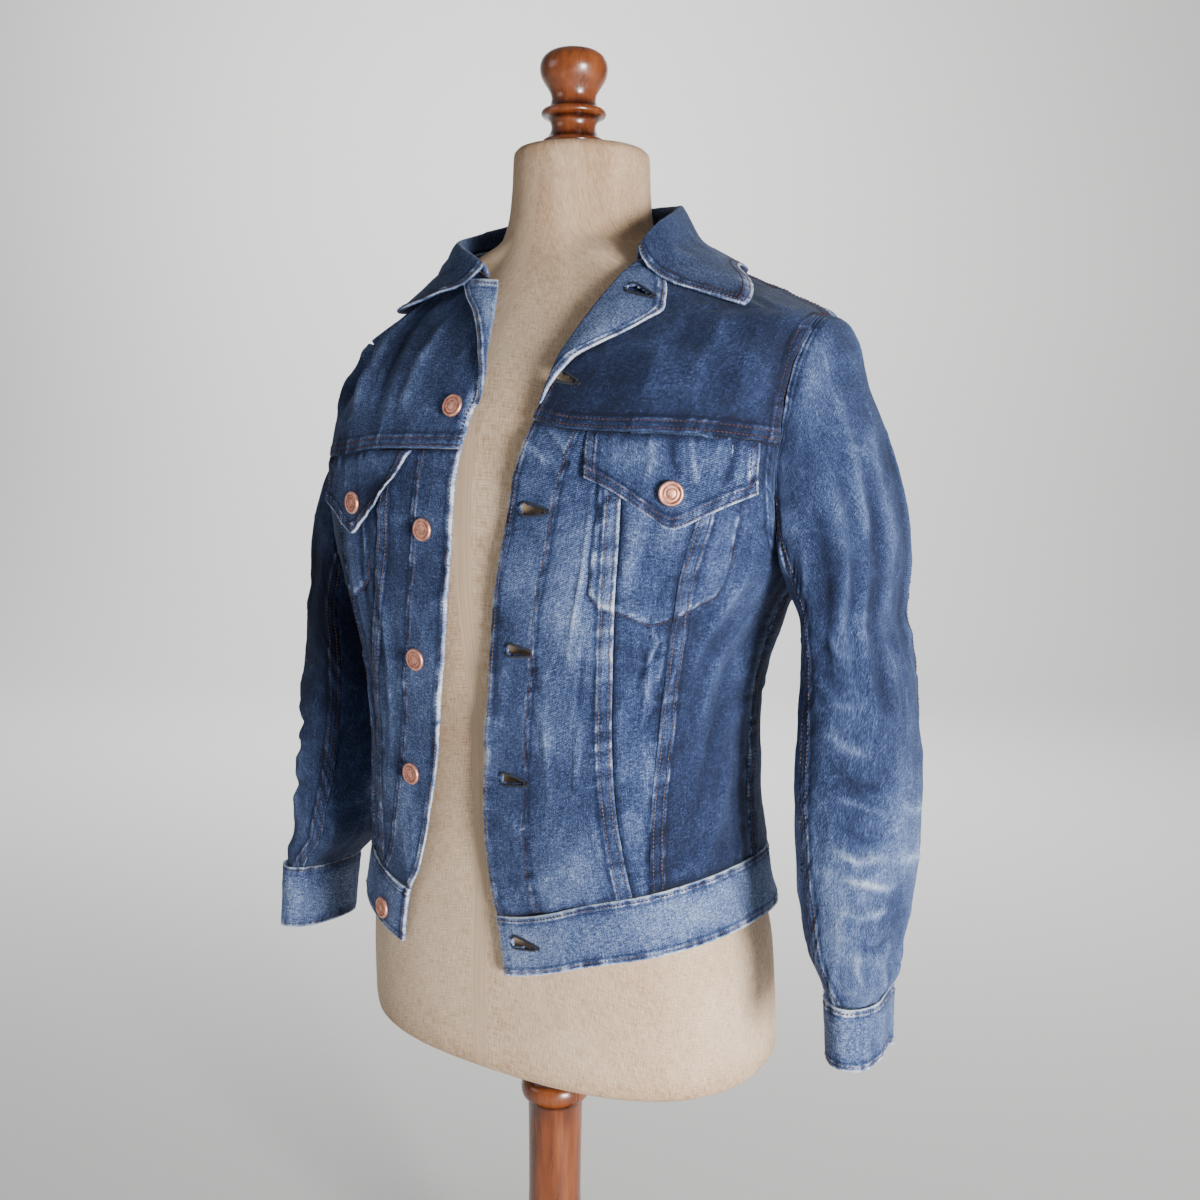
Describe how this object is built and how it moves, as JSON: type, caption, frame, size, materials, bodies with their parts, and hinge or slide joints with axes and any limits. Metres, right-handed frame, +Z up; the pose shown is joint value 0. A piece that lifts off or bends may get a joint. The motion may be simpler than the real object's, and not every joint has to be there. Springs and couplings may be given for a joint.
{
  "type": "denim jacket on a dress form",
  "caption": "Faded blue denim trucker jacket worn open on a limbless linen dress form with a turned wooden finial, pole and round base",
  "frame": {"origin": "centre of the round base's underside, on the pole's axis", "axes": "+X to the wearer's left, +Y to the back, +Z up; the jacket's open front faces -Y"},
  "size_m": [0.5795, 0.34, 1.1123],
  "materials": {
    "denim": "washed twill, worn pale at the seams",
    "copper": "satin",
    "linen": "plain weave, matt",
    "wood": "turned and varnished",
    "iron": "dark, satin"
  },
  "bodies": {
    "root": {"back_centre": "denim", "back_left_side": "denim", "back_right_side": "denim", "base": "wood", "button_flap_left": "copper", "button_flap_right": "copper", "button_front_1": "copper", "button_front_2": "copper", "button_front_3": "copper", "button_front_4": "copper", "button_front_5": "copper", "collar": "denim", "cuff_left": "denim", "cuff_right": "denim", "finial": "wood", "form_torso": "linen", "front_left_centre": "denim", "front_left_middle": "denim", "front_left_side": "denim", "front_right_centre": "denim", "front_right_middle": "denim", "front_right_side": "denim", "lapel_left": "denim", "lapel_right": "denim", "pocket_flap_left": "denim", "pocket_flap_right": "denim", "pole": "wood", "pole_collar": "iron", "sleeve_left_under": "denim", "sleeve_left_upper": "denim", "sleeve_right_under": "denim", "sleeve_right_upper": "denim", "waistband": "denim", "yoke_back": "denim", "yoke_front_left": "denim", "yoke_front_right": "denim"}
  },
  "joints": []
}
